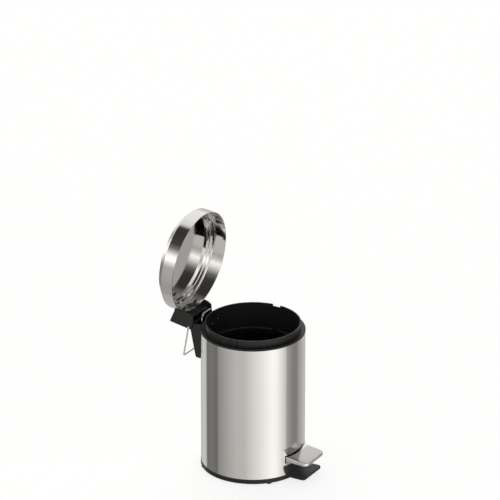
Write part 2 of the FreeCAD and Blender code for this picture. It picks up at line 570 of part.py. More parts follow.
def make_lid_bracket():
    """The black block on the lid: cheeks on the pin, ribs inside, tabs through the skirt."""
    body = new_body("lid_bracket")
    side = new_sketch(body, "lid_bracket_side", "YZ_Plane")
    polygon(side, [("92.7", "225.9"), ("84.1", "227.5"), ("81.2", "233.2"), ("79", RIM_Z),
                   ("78", "262.4"), ("84.4", "262.4"), ("104.2", "268.9"), ("105.4", "268.2"),
                   ("107.9", "232.5"), ("106.6", "229.4"), ("103", "228.1")])
    add_prism(body, side, "2 * dims.cheek_half")
    hollow = new_sketch(body, "lid_bracket_hollow", "YZ_Plane")
    polygon(hollow, [("89.4", "220"), ("89.4", "258.6"), ("102.6", "263"), ("104.6", "239.4"),
                     ("109", "239.4"), ("109", "220")])
    add_prism(body, hollow, "2 * dims.cheek_inner", cut=True)
    mouth = new_sketch(body, "lid_bracket_mouth", "YZ_Plane")
    rectangle(mouth, "70", "90", "220", "229.6")
    add_prism(body, mouth, "2 * dims.cheek_inner", cut=True)
    front = new_sketch(body, "lid_bracket_front", "YZ_Plane")
    rectangle(front, "70", "86.3", "220", RIM_Z)
    add_prism(body, front, "2 * dims.cheek_inner", cut=True)
    for side, name in ((-1, "near"), (1, "far")):
        room = new_sketch(body, f"ear_room_{name}", "YZ_Plane",
                          f"{side} * (dims.cheek_inner + 23.8) / 2")
        rectangle(room, "70", "112", "220", f"{SHELL_TOP} + 1")
        add_prism(body, room, "dims.cheek_inner - 23.8", cut=True)
    lid_room = new_sketch(body, "lid_room", "XZ_Plane")
    rectangle(lid_room, "0", "dims.lid_radius", f"{RIM_Z} - 0.1", "290")
    turn(body, lid_room, cut=True)
    shell_room = new_sketch(body, "shell_side_room", "XZ_Plane")
    rectangle(shell_room, "0", "dims.flange_radius + 0.5", "215", f"{RIM_Z} - 0.1")
    turn(body, shell_room, cut=True)
    for number, x in enumerate(("-10.5", "10.5"), start=1):
        rib = new_sketch(body, f"lid_bracket_rib_{number}", "YZ_Plane", x)
        polygon(rib, [("86.4", "241"), ("86.4", "259"), ("104.4", "264"), ("104.4", "241.5"),
                      ("94", "236.5"), ("88.5", "234")])
        add_prism(body, rib, "dims.rib_thick")
    tabs = new_sketch(body, "lid_tabs", "XZ_Plane", "84.6")
    for side in (-1, 1):
        rectangle(tabs, f"{side} * dims.tab_x - dims.tab_half + dims.tab_play",
                  f"{side} * dims.tab_x + dims.tab_half - dims.tab_play",
                  f"{TAB_LOW} + dims.tab_play", f"{TAB_HIGH} - dims.tab_play")
    add_prism(body, tabs, "7")
    bore = new_sketch(body, "lid_pin_bore", "YZ_Plane")
    circles(bore, [("dims.hinge_back", HINGE_Z)], "dims.pin_radius + dims.pin_play")
    add_prism(body, bore, "2 * dims.pin_half + 0.2", cut=True)
    sockets = new_sketch(body, "handle_sockets", "YZ_Plane")
    circles(sockets, [("dims.hinge_back", HINGE_Z)], "dims.handle_wire + dims.pin_play")
    add_prism(body, sockets, "2 * dims.cheek_half + 2", cut=True)
    swing_open(body)


# ---------------------------------------------------------------- carrying handle and lifter

def make_carry_handle():
    """The wire handle that hangs from the lid bracket's cheeks."""
    body = new_body("carry_handle")
    end = "dims.handle_end"
    half = "dims.handle_half"
    drop = "-dims.handle_drop"
    wire_pipe(body, "XZ_Plane", [(f"-{end}", "0"), (f"-{half}", "0"), (f"-{half}", drop),
                                 (half, drop), (half, "0"), (end, "0")], "dims.handle_wire")
    place(body, "0", "dims.hinge_back", HINGE_Z, "dims.handle_lean")


def make_lifter_wire():
    """The wire frame that the pedal's lever pushes up against the lid bracket."""
    body = new_body("lifter_wire")
    half = "dims.lifter_half"
    low = "-dims.lifter_length"
    shoulder = "-dims.lifter_shoulder"
    top = "dims.lifter_top_half"
    wire_pipe(body, "XZ_Plane", [("-0.3", low), (f"-{half}", low), (f"-{half}", shoulder),
                                 (f"-{top}", "0"), (top, "0"), (half, shoulder), (half, low),
                                 ("0.3", low)], "dims.wire_radius")
    place(body, "0", "dims.lifter_top_y", "dims.lifter_top_z", "-dims.lifter_lean")


def make_lifter_guide():
    """The black block on the shell's inside that keeps the two legs of the wire in line."""
    body = new_body("lifter_guide")
    block = new_sketch(body, "guide_block", "XY_Plane", "dims.guide_z")
    rectangle(block, "-dims.guide_half", "dims.guide_half", "71.4", "85.5")
    add_prism(body, block, "dims.guide_thick")
    outside = new_sketch(body, "guide_outside", "XZ_Plane")
    rectangle(outside, SHELL_INNER, "100", "100", "125")
    turn(body, outside, cut=True)
    holes = new_sketch(body, "guide_holes", "XY_Plane", "dims.guide_z")
    play = "(dims.wire_radius + dims.guide_play)"
    for side in (-1, 1):
        rectangle(holes, f"{side} * dims.lifter_half - {play}",
                  f"{side} * dims.lifter_half + {play}", "72.8", "77")
    add_prism(body, holes, "10", cut=True)


# ---------------------------------------------------------------- pedal

# The pedal's pieces are drawn about the axle, level, and then tipped down at the front.
RIVETS = [("-dims.rivet_x", "-dims.rivet_y"), ("dims.rivet_x", "-dims.rivet_y")]


def tip_pedal(feature):
    """Puts a pedal piece on its axle, tipped down at the front."""
    place(feature, "0", "-dims.pivot_y", "dims.pivot_z", "dims.tread_slope")


def rounded_front(sketch, half, front, rear, corner):
    """A plan outline with its two front corners cut back in two steps."""
    step = f"({corner}) * 0.2929"
    polygon(sketch, [
        (f"-({half})", rear), (f"-({half})", f"-({front}) + ({corner})"),
        (f"-({half}) + {step}", f"-({front}) + {step}"),
        (f"-({half}) + ({corner})", f"-({front})"), (f"({half}) - ({corner})", f"-({front})"),
        (f"({half}) - {step}", f"-({front}) + {step}"),
        (half, f"-({front}) + ({corner})"), (half, rear)])


def make_pedal_tread():
    """The pressed steel tread, with seven pressed ridges and two side flanges."""
    body = new_body("pedal_tread")
    plan = new_sketch(body, "tread_plan", "XY_Plane", "0")
    rectangle(plan, "-dims.tread_half", "dims.tread_half", "-dims.tread_front", "dims.tread_back")
    add_prism(body, plan, "2 * dims.tread_top")
    round_edges(body, "tread_front_corners", "dims.tread_corner",
                lambda edge: is_upright(edge, -value("dims.tread_front")))
    skirt = new_sketch(body, "tread_underside", "YZ_Plane")
    polygon(skirt, [("-60", "-20"), ("20", "-20"), ("20", "-4.6"), ("-4.5", "-4.6"),
                    ("-10", "-1.4"), ("-38", "0.8"), ("-41.5", "1.7"), ("-60", "1.7")])
    add_prism(body, skirt, "2 * dims.tread_half + 10", cut=True)
    top = value("dims.tread_top")
    round_edges(body, "tread_top_edge", "dims.tread_edge",
                lambda edge: min(point.Point.z for point in edge.Vertexes) > top - 0.01
                and max(point.Point.y for point in edge.Vertexes) < value("dims.tread_back") - 0.01
                or is_side_edge(edge, top))
    hollow = new_sketch(body, "tread_hollow", "XY_Plane",
                        "dims.tread_top - dims.tread_wall - 15")
    rounded_front(hollow, "dims.tread_half - dims.tread_wall",
                  "dims.tread_front - dims.tread_wall", "dims.tread_back + 5",
                  "dims.tread_corner")
    add_prism(body, hollow, "30", cut=True)
    ridge = new_sketch(body, "tread_ridge", "YZ_Plane")
    first = "(-dims.tread_front + dims.ridge_first)"
    low = "(dims.tread_top - dims.ridge_sink)"
    crest = "(dims.tread_top + dims.ridge_height)"
    polygon(ridge, [(f"{first} - dims.ridge_width / 2", low),
                    (f"{first} - dims.ridge_crest / 2", crest),
                    (f"{first} + dims.ridge_crest / 2", crest),
                    (f"{first} + dims.ridge_width / 2", low)])
    pad = add_prism(body, ridge, "2 * dims.ridge_half")
    rows = body.newObject("PartDesign::LinearPattern", "tread_ridges")
    rows.Originals = [pad]
    rows.Direction = (ridge, ["H_Axis"])
    rows.Occurrences = 7
    rows.setExpression("Length", "6 * dims.ridge_pitch")
    body.Tip = rows
    doc.recompute()
    bore = new_sketch(body, "tread_bore", "YZ_Plane")
    circles(bore, [("0", "0")], "dims.axle_radius")
    add_prism(body, bore, "2 * dims.tread_half + 4", cut=True)
    holes = new_sketch(body, "tread_rivet_holes", "XY_Plane", "dims.tread_top")
    circles(holes, RIVETS, "dims.rivet_radius")
    add_prism(body, holes, "6", cut=True)
    tip_pedal(body)


def make_lever_bar():
    """The long steel lever riveted under the tread, cranked down to pass under the bucket."""
    body = new_body("lever_bar")
    side = new_sketch(body, "lever_side", "YZ_Plane")
    top = "(dims.tread_top - dims.tread_wall)"
    thick = "dims.lever_thick"
    line = [("-20", top), ("9.1", top), ("18.5", "-6.5"), ("149.1", "-20.9")]
    polygon(side, line + [(y, f"{z} - {thick}") for y, z in reversed(line)])
    add_prism(body, side, "2 * dims.lever_half")
    holes = new_sketch(body, "lever_rivet_holes", "XY_Plane", "dims.tread_top - 3")
    circles(holes, RIVETS, "dims.rivet_radius")
    add_prism(body, holes, "6", cut=True)
    tip_pedal(body)


def make_pedal_rivets():
    """Two rivets that join the tread to the lever."""
    up = FreeCAD.Vector(0, 0, 1)
    rivets = []
    for index, (x, y) in enumerate(RIVETS, start=1):
        low = "(dims.tread_top - dims.tread_wall - dims.lever_thick)"
        shank = cylinder(f"rivet_shank_{index}", "dims.rivet_radius",
                         "dims.tread_wall + dims.lever_thick", (x, y, low), up)
        tail = cylinder(f"rivet_tail_{index}", "dims.rivet_head", "dims.rivet_tail_height",
                        (x, y, f"{low} - dims.rivet_tail_height"), up)
        head = cylinder(f"rivet_head_{index}", "dims.rivet_head", "dims.rivet_head_height",
                        (x, y, "dims.tread_top"), up)
        fused = doc.addObject("Part::MultiFuse", f"pedal_rivet_{index}")
        fused.Shapes = [shank, tail, head]
        rivets.append(fused)
    bundle = group("pedal_rivets", rivets)
    tip_pedal(bundle)


def make_pedal_axle():
    """The axle through the tread's flanges and the two posts."""
    axle = cylinder("pedal_axle", "dims.axle_radius", "2 * dims.axle_half",
                    ("-dims.axle_half", "-dims.pivot_y", "dims.pivot_z"),
                    FreeCAD.Vector(1, 0, 0))
    pieces.append(axle)


def make_axle_clips():
    """Two spring clips on the axle's ends, outside the flanges."""
    inner = "(dims.tread_half + dims.clip_play)"
    clips = []
    for start, name in ((f"(-{inner} - dims.clip_thick)", "left"), (inner, "right")):
        disc = cylinder(f"clip_disc_{name}", "dims.clip_radius", "dims.clip_thick",
                        (start, "-dims.pivot_y", "dims.pivot_z"), FreeCAD.Vector(1, 0, 0))
        bore = cylinder(f"clip_bore_{name}", "dims.axle_radius", "3",
                        (f"{start} - 1", "-dims.pivot_y", "dims.pivot_z"),
                        FreeCAD.Vector(1, 0, 0))
        ring = doc.addObject("Part::Cut", f"axle_clip_{name}")
        ring.Base = disc
        ring.Tool = bore
        clips.append(ring)
    group("axle_clips", clips)


def make_lifter_saddle():
    """The plastic saddle on the lever's end that the wire's foot rests in."""
    body = new_body("lifter_saddle")
    side = new_sketch(body, "saddle_side", "YZ_Plane")
    polygon(side, [("135.7", "-19.35"), ("135.7", "-14.1"), ("138.3", "-14.1"),
                   ("138.3", "-18.2"), ("144.7", "-18.9"), ("144.7", "-14.8"),
                   ("147.3", "-14.8"), ("147.3", "-20.65")])
    add_prism(body, side, "2 * dims.saddle_half")
    tip_pedal(body)


def make_lever_buffer():
    """The rubber pad on the floor that the released lever comes down on."""
    up = FreeCAD.Vector(0, 0, 1)
    buffer = cylinder("lever_buffer", "dims.buffer_radius", "dims.buffer_thick",
                      ("0", "dims.buffer_y", TRAY_FLOOR), up)
    pieces.append(buffer)


# ---------------------------------------------------------------- bucket

BAIL_Z = f"({SKIRT_END} - 3.4)"


def make_inner_bucket():
    """The lift-out bucket, with a rolled rim broken at the two bail pivots."""
    body = new_body("inner_bucket")
    section = new_sketch(body, "bucket_section", "XZ_Plane")
    rim_low = f"({BUCKET_RIM_TOP} - dims.bucket_rim_thick)"
    polygon(section, [
        ("0", "dims.bucket_bottom"), ("dims.bucket_low - 2", "dims.bucket_bottom"),
        ("dims.bucket_low", "dims.bucket_bottom + 2"), ("dims.bucket_high", rim_low),
        ("dims.bucket_rim", rim_low), ("dims.bucket_rim", BUCKET_RIM_TOP),
        ("dims.bucket_rim_inner", BUCKET_RIM_TOP),
        ("dims.bucket_high - dims.bucket_wall", f"{rim_low} - 1"),
        ("dims.bucket_low - dims.bucket_wall", "dims.bucket_bottom + 4"),
        ("dims.bucket_low - 4", "dims.bucket_bottom + 2"), ("0", "dims.bucket_bottom + 2")])
    turn(body, section)
    gap = new_sketch(body, "bail_gap", "YZ_Plane")
    rectangle(gap, "-6", "6", f"{rim_low} - 0.2", f"{BUCKET_RIM_TOP} + 1")
    add_prism(body, gap, "200", cut=True)
    bore = new_sketch(body, "bail_bore", "YZ_Plane")
    circles(bore, [("0", BAIL_Z)], "2")
    add_prism(body, bore, "200", cut=True)


def make_bucket_bail():
    """The half-round bail, folded flat inside the bucket's rim."""
    body = new_body("bucket_bail")
    section = new_sketch(body, "bail_section", "XZ_Plane")
    rectangle(section, "dims.bail_outer - dims.bail_width", "dims.bail_outer",
              "-dims.bail_thick / 2", "dims.bail_thick / 2")
    turn(body, section, angle=180)
    for side in (-1, 1):
        peg = new_sketch(body, "bail_peg_" + ("far" if side == 1 else "near"), "YZ_Plane",
                         f"{side} * (dims.bail_outer + 0.2)")
        circles(peg, [("0", "0")], "1.9")
        add_prism(body, peg, "3.6")
    place(body, "0", "0", BAIL_Z)


doc.recompute()
make_outer_shell()
make_base_tray()
make_base_feet()
make_top_ring()
make_anchor_strap()
make_screws()
make_hinge_bracket()
make_hinge_pin()
make_lid_shell()
make_lid_bracket()
make_carry_handle()
make_lifter_wire()
make_lifter_guide()
make_pedal_tread()
make_lever_bar()
make_pedal_rivets()
make_pedal_axle()
make_axle_clips()
make_lifter_saddle()
make_lever_buffer()
make_inner_bucket()
make_bucket_bail()


def check_model():
    """Stops if any object failed or any sub-part has no sound shape."""
    for item in doc.Objects:
        if "Invalid" in item.State or "Error" in item.State:
            raise RuntimeError(f"{item.Name} failed: {item.State}")
    for piece in pieces:
        if piece.Shape.isNull() or not piece.Shape.isValid():
            raise RuntimeError(f"{piece.Label} has no sound shape")


doc.recompute()
check_model()
os.makedirs("parts", exist_ok=True)
for piece in pieces:
    piece.Shape.exportStep(f"parts/{piece.Label}.step")
    box = piece.Shape.optimalBoundingBox()
    print(piece.Label, "solids", len(piece.Shape.Solids), "volume", round(piece.Shape.Volume),
          "x", round(box.XMin, 1), round(box.XMax, 1), "y", round(box.YMin, 1),
          round(box.YMax, 1), "z", round(box.ZMin, 1), round(box.ZMax, 1))
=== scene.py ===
import json
import math
import bpy
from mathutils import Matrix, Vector


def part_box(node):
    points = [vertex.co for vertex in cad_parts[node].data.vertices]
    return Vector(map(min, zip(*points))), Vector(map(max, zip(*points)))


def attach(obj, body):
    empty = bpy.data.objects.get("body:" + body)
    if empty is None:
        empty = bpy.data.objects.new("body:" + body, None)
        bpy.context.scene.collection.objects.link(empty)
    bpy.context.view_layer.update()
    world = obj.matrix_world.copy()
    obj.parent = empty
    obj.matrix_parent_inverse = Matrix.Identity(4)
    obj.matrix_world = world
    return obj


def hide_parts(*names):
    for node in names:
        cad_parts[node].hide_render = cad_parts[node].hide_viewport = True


# Looks of a small pedal bin: polished steel, black plastic and bright wire in a plain studio.
# Metres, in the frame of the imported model: +Z up, -Y the pedal side, +Y the hinge side.

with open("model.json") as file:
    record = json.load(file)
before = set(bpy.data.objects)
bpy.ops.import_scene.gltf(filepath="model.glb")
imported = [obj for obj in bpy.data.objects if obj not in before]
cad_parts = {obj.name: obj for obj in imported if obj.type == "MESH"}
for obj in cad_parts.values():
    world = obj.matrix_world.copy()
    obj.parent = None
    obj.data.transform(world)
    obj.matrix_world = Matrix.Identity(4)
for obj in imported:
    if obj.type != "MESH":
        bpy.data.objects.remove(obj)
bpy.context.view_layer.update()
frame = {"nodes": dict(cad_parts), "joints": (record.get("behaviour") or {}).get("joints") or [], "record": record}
nodes = frame["nodes"]
pivots = {joint["name"]: joint.get("pos_m") for joint in frame["joints"]}
slot_of = {part["node"]: part["material_slot"] for part in frame["record"]["subparts"]}
scene = bpy.context.scene
scene.view_settings.view_transform = "Standard"

MM = 0.001

# ---------------------------------------------------------------- node helpers


def calculate(tree, operation, first, second=0.0, third=0.0):
    """A math node; each operand is a number or a socket."""
    node = tree.nodes.new("ShaderNodeMath")
    node.operation = operation
    for index, operand in enumerate((first, second, third)):
        if isinstance(operand, (int, float)):
            node.inputs[index].default_value = operand
        else:
            tree.links.new(operand, node.inputs[index])
    return node.outputs[0]


def rescale(tree, value, low, high, new_low, new_high, smooth=False):
    """Maps a value from one range to another, clamped."""
    node = tree.nodes.new("ShaderNodeMapRange")
    node.interpolation_type = "SMOOTHSTEP" if smooth else "LINEAR"
    tree.links.new(value, node.inputs["Value"])
    for name, number in (("From Min", low), ("From Max", high),
                         ("To Min", new_low), ("To Max", new_high)):
        node.inputs[name].default_value = number
    return node.outputs["Result"]


def mix_colours(tree, factor, first, second):
    """Blends two colours; each is a tuple or a socket."""
    node = tree.nodes.new("ShaderNodeMix")
    node.data_type = "RGBA"
    tree.links.new(factor, node.inputs["Factor"])
    for socket, colour in ((node.inputs[6], first), (node.inputs[7], second)):
        if isinstance(colour, tuple):
            socket.default_value = (*colour, 1.0)
        else:
            tree.links.new(colour, socket)
    return node.outputs[2]


def stretched(tree, scale):
    """Object coordinates, stretched by a scale along each axis."""
    place = tree.nodes.new("ShaderNodeTexCoord")
    mapping = tree.nodes.new("ShaderNodeMapping")
    mapping.inputs["Scale"].default_value = scale
    tree.links.new(place.outputs["Object"], mapping.inputs["Vector"])
    return mapping.outputs["Vector"]


def noise(tree, per_metre, detail=2.0, stretch=(1, 1, 1)):
    """Noise of so many cells to the metre, optionally stretched along an axis."""
    vector = stretched(tree, tuple(per_metre * part for part in stretch))
    node = tree.nodes.new("ShaderNodeTexNoise")
    node.inputs["Scale"].default_value = 1.0
    node.inputs["Detail"].default_value = detail
    tree.links.new(vector, node.inputs["Vector"])
    return node.outputs["Fac"]


def bump(tree, height, depth, below=None):
    """A bump of a real depth in metres, on top of another normal if there is one."""
    node = tree.nodes.new("ShaderNodeBump")
    node.inputs["Strength"].default_value = 1.0
    node.inputs["Distance"].default_value = depth
    tree.links.new(height, node.inputs["Height"])
    if below is not None:
        tree.links.new(below, node.inputs["Normal"])
    return node.outputs["Normal"]


def soft_edges(tree, radius):
    """A normal that catches light along edges, as a small radius does."""
    node = tree.nodes.new("ShaderNodeBevel")
    node.samples = 4
    node.inputs["Radius"].default_value = radius
    return node.outputs["Normal"]


def creases(tree, reach):
    """How open the surface is within a reach, from 0 in a groove to 1 on a crest."""
    node = tree.nodes.new("ShaderNodeAmbientOcclusion")
    node.samples = 8
    node.inputs["Distance"].default_value = reach
    return node.outputs["AO"]


def ramp(tree, factor, stops):
    """A grey ramp through (place, level) stops; places run from 0 to 1."""
    node = tree.nodes.new("ShaderNodeValToRGB")
    band = node.color_ramp
    for index, (place, level) in enumerate(stops):
        if index < 2:
            element = band.elements[index]
            element.position = place
        else:
            element = band.elements.new(place)
        element.color = (level, level, level, 1.0)
    tree.links.new(factor, node.inputs["Fac"])
    return node.outputs["Color"]


def new_material(name, **settings):
    """A Principled material; returns it with its tree and its shader node."""
    material = bpy.data.materials.new(name)
    material.use_nodes = True
    tree = material.node_tree
    shader = tree.nodes["Principled BSDF"]
    for setting, value in settings.items():
        shader.inputs[setting].default_value = value
    return material, tree, shader


# ---------------------------------------------------------------- materials


def polished_steel(name):
    """Mirror-polished stainless sheet: faint polishing lines, soft smears, gentle waviness."""
    rough = 0.055
    material, tree, shader = new_material(name, Metallic=1.0)
    smears = noise(tree, 22, detail=4)
    cloud = noise(tree, 9, detail=3)
    lines = noise(tree, 4200, detail=3, stretch=(0.012, 0.012, 1))
    colour = mix_colours(tree, rescale(tree, cloud, 0.3, 0.7, 0, 1),
                         (0.735, 0.722, 0.703), (0.765, 0.756, 0.742))
    tree.links.new(colour, shader.inputs["Base Color"])
    smeared = rescale(tree, smears, 0.45, 0.8, rough, rough + 0.05, smooth=True)
    lined = rescale(tree, lines, 0.35, 0.75, 0, 0.03)
    tree.links.new(calculate(tree, "ADD", smeared, lined), shader.inputs["Roughness"])
    sheet = bump(tree, noise(tree, 14, detail=1), 0.02 * MM)
    tree.links.new(bump(tree, lines, 0.0004 * MM, below=sheet), shader.inputs["Normal"])
    return material


def bright_metal(name, rough, grain, shaded_grooves=False):
    """Bright plated metal with drawing or pressing marks, dulled patches and sometimes painted shade in its
    grooves.
    """
    bright = (0.76, 0.755, 0.745)
    dulled = tuple(part * 0.9 for part in bright)
    # near-black colour for the painted shade in grooves
    groove_shade = (0.1, 0.097, 0.092)
    material, tree, shader = new_material(name, Metallic=1.0)
    marks = noise(tree, grain, detail=4)
    patches = noise(tree, 60, detail=3)
    colour = mix_colours(tree, rescale(tree, patches, 0.4, 0.75, 0, 1), bright, dulled)
    # Painted shade: the colour turns near-black wherever ambient occlusion finds a groove.
    if shaded_grooves:
        unshaded = rescale(tree, creases(tree, 1.6 * MM), 0.55, 0.95, 0, 1)
        colour = mix_colours(tree, unshaded, groove_shade, colour)
    tree.links.new(colour, shader.inputs["Base Color"])
    tree.links.new(rescale(tree, marks, 0.3, 0.8, rough, rough + 0.07), shader.inputs["Roughness"])
    tree.links.new(bump(tree, marks, 0.004 * MM), shader.inputs["Normal"])
    return material


def plated_steel(name):
    """Zinc plate: grey with a faint cold and warm mottle and a satin spangle."""
    material, tree, shader = new_material(name, Metallic=1.0)
    mottle = noise(tree, 130, detail=5)
    colour = mix_colours(tree, rescale(tree, mottle, 0.35, 0.65, 0, 1),
                         (0.66, 0.67, 0.68), (0.74, 0.72, 0.68))
    tree.links.new(colour, shader.inputs["Base Color"])
    tree.links.new(rescale(tree, mottle, 0.3, 0.7, 0.16, 0.3), shader.inputs["Roughness"])
    tree.links.new(bump(tree, noise(tree, 2200, detail=3), 0.008 * MM), shader.inputs["Normal"])
    return material


def moulded_plastic(name, dark, light, rough, grain_depth, edge_radius, lit_rim_above=None):
    """Black moulded plastic: fine grain, flow shading, rub marks and sometimes a painted highlight along the rim.
    """
    # lighter grey for the painted highlight along the rim
    rim_highlight_grey = (0.07, 0.07, 0.072)
    material, tree, shader = new_material(name, IOR=1.38)
    flow = noise(tree, 16, detail=3)
    grain = noise(tree, 2600, detail=2)
    rub_marks_and_sheen = noise(tree, 70, detail=5)
    colour = mix_colours(tree, rescale(tree, flow, 0.35, 0.7, 0, 1), dark, light)
    # Painted highlight: above the given height the colour turns a lighter grey, patchy with the rub noise.
    if lit_rim_above is not None:
        split = tree.nodes.new("ShaderNodeSeparateXYZ")
        tree.links.new(stretched(tree, (1, 1, 1)), split.inputs[0])
        rim = rescale(tree, split.outputs["Z"], lit_rim_above, lit_rim_above + 0.5 * MM, 0, 1)
        rim_highlight = calculate(tree, "MULTIPLY", rim, rescale(tree, rub_marks_and_sheen, 0.3, 0.6, 0.6, 1))
        colour = mix_colours(tree, rim_highlight, colour, rim_highlight_grey)
    tree.links.new(colour, shader.inputs["Base Color"])
    tree.links.new(rescale(tree, rub_marks_and_sheen, 0.3, 0.75, rough - 0.05, rough + 0.07),
                   shader.inputs["Roughness"])
    edges = soft_edges(tree, edge_radius)
    tree.links.new(bump(tree, grain, grain_depth, below=edges), shader.inputs["Normal"])
    return material


def black_rubber(name):
    """Matt rubber with a fine open grain and dust in its hollows."""
    material, tree, shader = new_material(name, IOR=1.5)
    dust = noise(tree, 900, detail=5)
    colour = mix_colours(tree, rescale(tree, dust, 0.5, 0.8, 0, 1),
                         (0.014, 0.014, 0.014), (0.04, 0.039, 0.037))
    tree.links.new(colour, shader.inputs["Base Color"])
    tree.links.new(rescale(tree, dust, 0.3, 0.7, 0.65, 0.85), shader.inputs["Roughness"])
    tree.links.new(bump(tree, dust, 0.03 * MM), shader.inputs["Normal"])
    return material


bucket_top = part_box("inner_bucket")[1].z
finishes = {
    "polished_steel": polished_steel("polished_steel_look"),
    "bright_wire": bright_metal("bright_wire_look", rough=0.1, grain=1400),
    # the pressing gets painted shade in the grooves between its ridges
    "bright_pressing": bright_metal("bright_pressing_look", rough=0.07, grain=500, shaded_grooves=True),
    "plated_steel": plated_steel("plated_steel_look"),
    "black_plastic": moulded_plastic(
        "black_plastic_look", dark=(0.012, 0.012, 0.0125), light=(0.017, 0.017, 0.0175),
        rough=0.4, grain_depth=0.012 * MM, edge_radius=0.4 * MM),
    # The bucket's plastic is darker than the other black plastic: partly its own colour, partly painted shade for
    # the deep inside of the bin.
    "bucket_plastic": moulded_plastic(
        "bucket_plastic_look", dark=(0.005, 0.005, 0.0053), light=(0.009, 0.009, 0.0093),
        rough=0.34, grain_depth=0.01 * MM, edge_radius=0.9 * MM,
        # the bucket's top 2.2 mm gets the painted rim highlight
        lit_rim_above=bucket_top - 2.2 * MM),
    "black_rubber": black_rubber("black_rubber_look"),
}

for node_name, cad_object in nodes.items():
    for slot in cad_object.material_slots:
        slot.material = finishes[slot_of[node_name]]


def stands_for(piece, body, node_name):
    """Lets a piece move with a body, in place of a CAD node, which it hides."""
    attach(piece, body)
    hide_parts(node_name)


# ---------------------------------------------------------------- bent wires

ARC_STEPS = 10


def rounded_path(corners, bend):
    """The corners' path with an arc of one radius at each bend."""
    points = [corners[0]]
    for before, corner, after in zip(corners, corners[1:], corners[2:]):
        back = (before - corner).normalized()
        ahead = (after - corner).normalized()
        half = back.angle(ahead) / 2
        bisector = (back + ahead).normalized()
        centre = corner + bisector * (bend / math.sin(half))
        start = corner + back * (bend / math.tan(half)) - centre
        end = corner + ahead * (bend / math.tan(half)) - centre
        for step in range(ARC_STEPS + 1):
            points.append(centre + start.slerp(end, step / ARC_STEPS) * bend)
    points.append(corners[-1])
    return points


def bent_wire(name, corners, radius, bend, body, node_name):
    """A round wire bent at the corners, in place of a CAD node."""
    points = rounded_path(corners, bend)
    curve = bpy.data.curves.new(name, "CURVE")
    curve.dimensions = "3D"
    curve.bevel_depth = radius
    curve.bevel_resolution = 6
    curve.use_fill_caps = True
    spline = curve.splines.new("POLY")
    spline.points.add(len(points) - 1)
    for place, point in zip(spline.points, points):
        place.co = (*point, 1.0)
    wire = bpy.data.objects.new(name, curve)
    scene.collection.objects.link(wire)
    curve.materials.append(finishes[slot_of[node_name]])
    stands_for(wire, body, node_name)


def carrying_handle():
    """The wire bail on the hinge: two ends turned inward, two legs and a slightly sagging bar."""
    low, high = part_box("carry_handle")
    radius = 1.3 * MM
    axis_y, axis_z = pivots["handle_hinge"][1:]
    half = high.x - radius
    bar_y = high.y - radius
    bar_z = low.z + radius
    end = 28.9 * MM
    sag = 0.8 * MM
    down = Vector((0, bar_y - axis_y, bar_z - axis_z)).normalized() * sag
    corners = [Vector((-end, axis_y, axis_z)), Vector((-half, axis_y, axis_z)),
               Vector((-half, bar_y, bar_z)) - down, Vector((0, bar_y, bar_z)),
               Vector((half, bar_y, bar_z)) - down, Vector((half, axis_y, axis_z)),
               Vector((end, axis_y, axis_z))]
    bent_wire("carry_handle_wire", corners, radius, 2.4 * MM, "handle", "carry_handle")


def lifter():
    """The wire that pushes the lid: a short top bar, sloping shoulders, long legs, a low loop."""
    low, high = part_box("lifter_wire")
    radius = 1.5 * MM
    top_half = 11 * MM
    shoulder_drop = 7.9 * MM
    loop_gap = 0.3 * MM
    half = high.x - radius
    top = Vector((top_half, high.y - radius, high.z - radius))
    foot = Vector((half, low.y + radius, low.z + radius))
    leg = Vector((0, foot.y - top.y, foot.z - top.z))
    shoulder = Vector((half, top.y, top.z)) + leg * (shoulder_drop / leg.length)
    right = [Vector((loop_gap, foot.y, foot.z)), foot, shoulder, top]
    left = [Vector((-point.x, point.y, point.z)) for point in reversed(right)]
    bent_wire("lifter_bar", right + left, radius, 2.6 * MM, "lifter", "lifter_wire")


# ---------------------------------------------------------------- screw heads

SCREW_TURNS = 32
HEAD_RADIUS = 2.7 * MM
HEAD_HEIGHT = 1.6 * MM
HEAD_BRIM = 0.25 * MM
SHANK_RADIUS = 1.5 * MM


def cut_cross(head, top, angle):
    """Cuts a tapering cross recess into a screw head that faces -Y; returns the cutter."""
    arm, half, depth, above, taper = 1.5 * MM, 0.35 * MM, 1.0 * MM, 0.5 * MM, 0.7
    outline = [(half, arm), (half, half), (arm, half), (arm, -half), (half, -half), (half, -arm),
               (-half, -arm), (-half, -half), (-arm, -half), (-arm, half), (-half, half),
               (-half, arm)]
    count = len(outline)
    vertices = []
    for y, scale in ((top.y - above, 1.0), (top.y + depth, taper)):
        for across, up in outline:
            x = (across * math.cos(angle) - up * math.sin(angle)) * scale
            z = (across * math.sin(angle) + up * math.cos(angle)) * scale
            vertices.append((top.x + x, y, top.z + z))
    faces = [tuple(range(count)), tuple(range(2 * count - 1, count - 1, -1))]
    faces += [(index, index + count, (index + 1) % count + count, (index + 1) % count)
              for index in range(count)]
    mesh = bpy.data.meshes.new("cross_cutter")
    mesh.from_pydata(vertices, [], faces)
    cutter = bpy.data.objects.new("cross_cutter", mesh)
    scene.collection.objects.link(cutter)
    cut = head.modifiers.new("cross", "BOOLEAN")
    cut.object = cutter
    cut.solver = "EXACT"
    return cutter


def head_profile(seat, shank_end):
    """(radius, y) points of a domed head on its seat, and of the shank behind it."""
    dome_steps = 8
    dome_height = HEAD_HEIGHT - HEAD_BRIM
    profile = [(0.0, seat - HEAD_HEIGHT)]
    for step in range(1, dome_steps + 1):
        turned = math.radians(90 * step / dome_steps)
        profile.append((HEAD_RADIUS * math.sin(turned),
                        seat + (-HEAD_BRIM - dome_height * math.cos(turned))))
    return profile + [(HEAD_RADIUS, seat), (SHANK_RADIUS, seat), (SHANK_RADIUS, shank_end),
                      (0.0, shank_end)]


